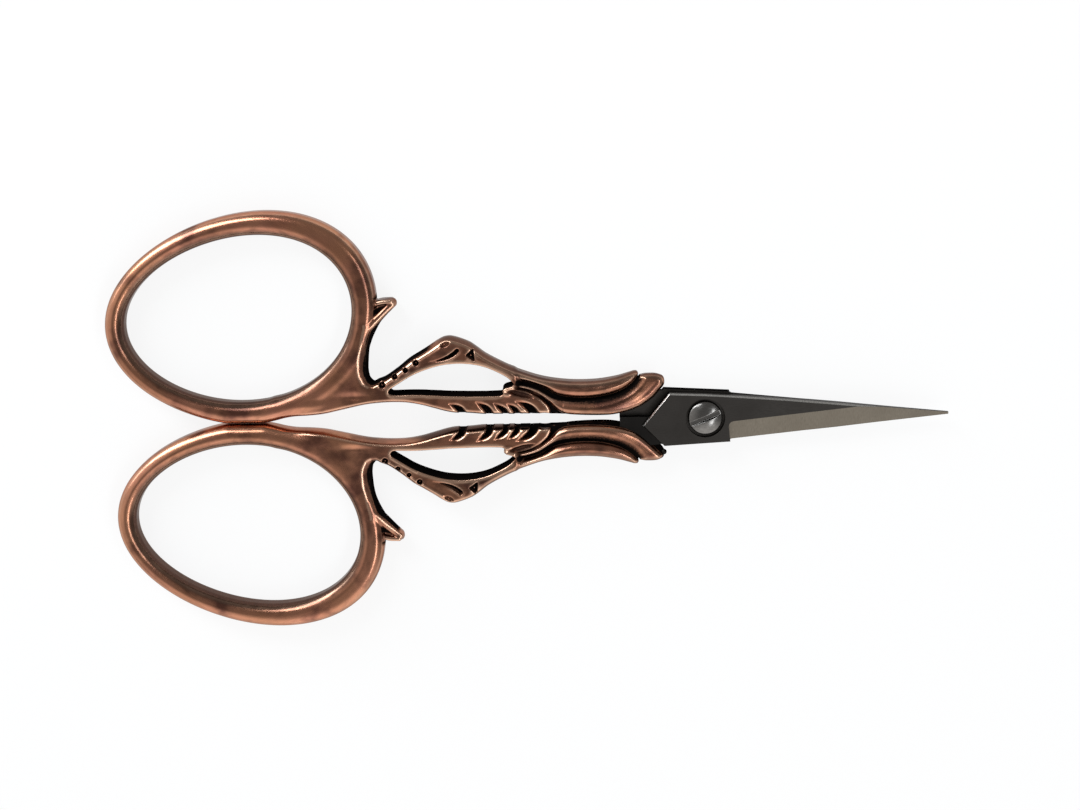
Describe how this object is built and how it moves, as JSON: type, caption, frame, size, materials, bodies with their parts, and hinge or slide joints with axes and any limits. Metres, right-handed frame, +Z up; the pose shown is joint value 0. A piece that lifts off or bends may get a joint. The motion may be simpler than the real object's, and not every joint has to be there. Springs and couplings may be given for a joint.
{
  "type": "embroidery scissors",
  "caption": "Small embroidery scissors with egg-shaped finger bows, openwork feathered shanks in antique copper and slim pointed steel blades on a slotted pivot screw.",
  "frame": {"origin": "on the surface that the closed scissors lie on, under the middle of their outline", "axes": "+X from the finger bows to the blade tips, +Y across the closing plane towards the rear half's handle, +Z up along the pivot"},
  "size_m": [0.1152, 0.0586, 0.0043],
  "materials": {
    "antique_copper": "antique copper plate, brushed bright on the crests and near black in the recesses",
    "blade_steel": "dark satin steel with a brighter ground bevel",
    "screw_steel": "polished steel"
  },
  "bodies": {
    "rear_half": {"rear_handle": "antique_copper", "rear_blade": "blade_steel", "pivot_screw": "screw_steel"},
    "front_half": {"front_handle": "antique_copper", "front_blade": "blade_steel"}
  },
  "joints": [
    {"name": "pivot", "type": "hinge", "parent": "rear_half", "child": "front_half", "pos_m": [0.02423, 0, 0.00215], "axis": [0, 0, 1], "range_deg": [0, 110]}
  ]
}
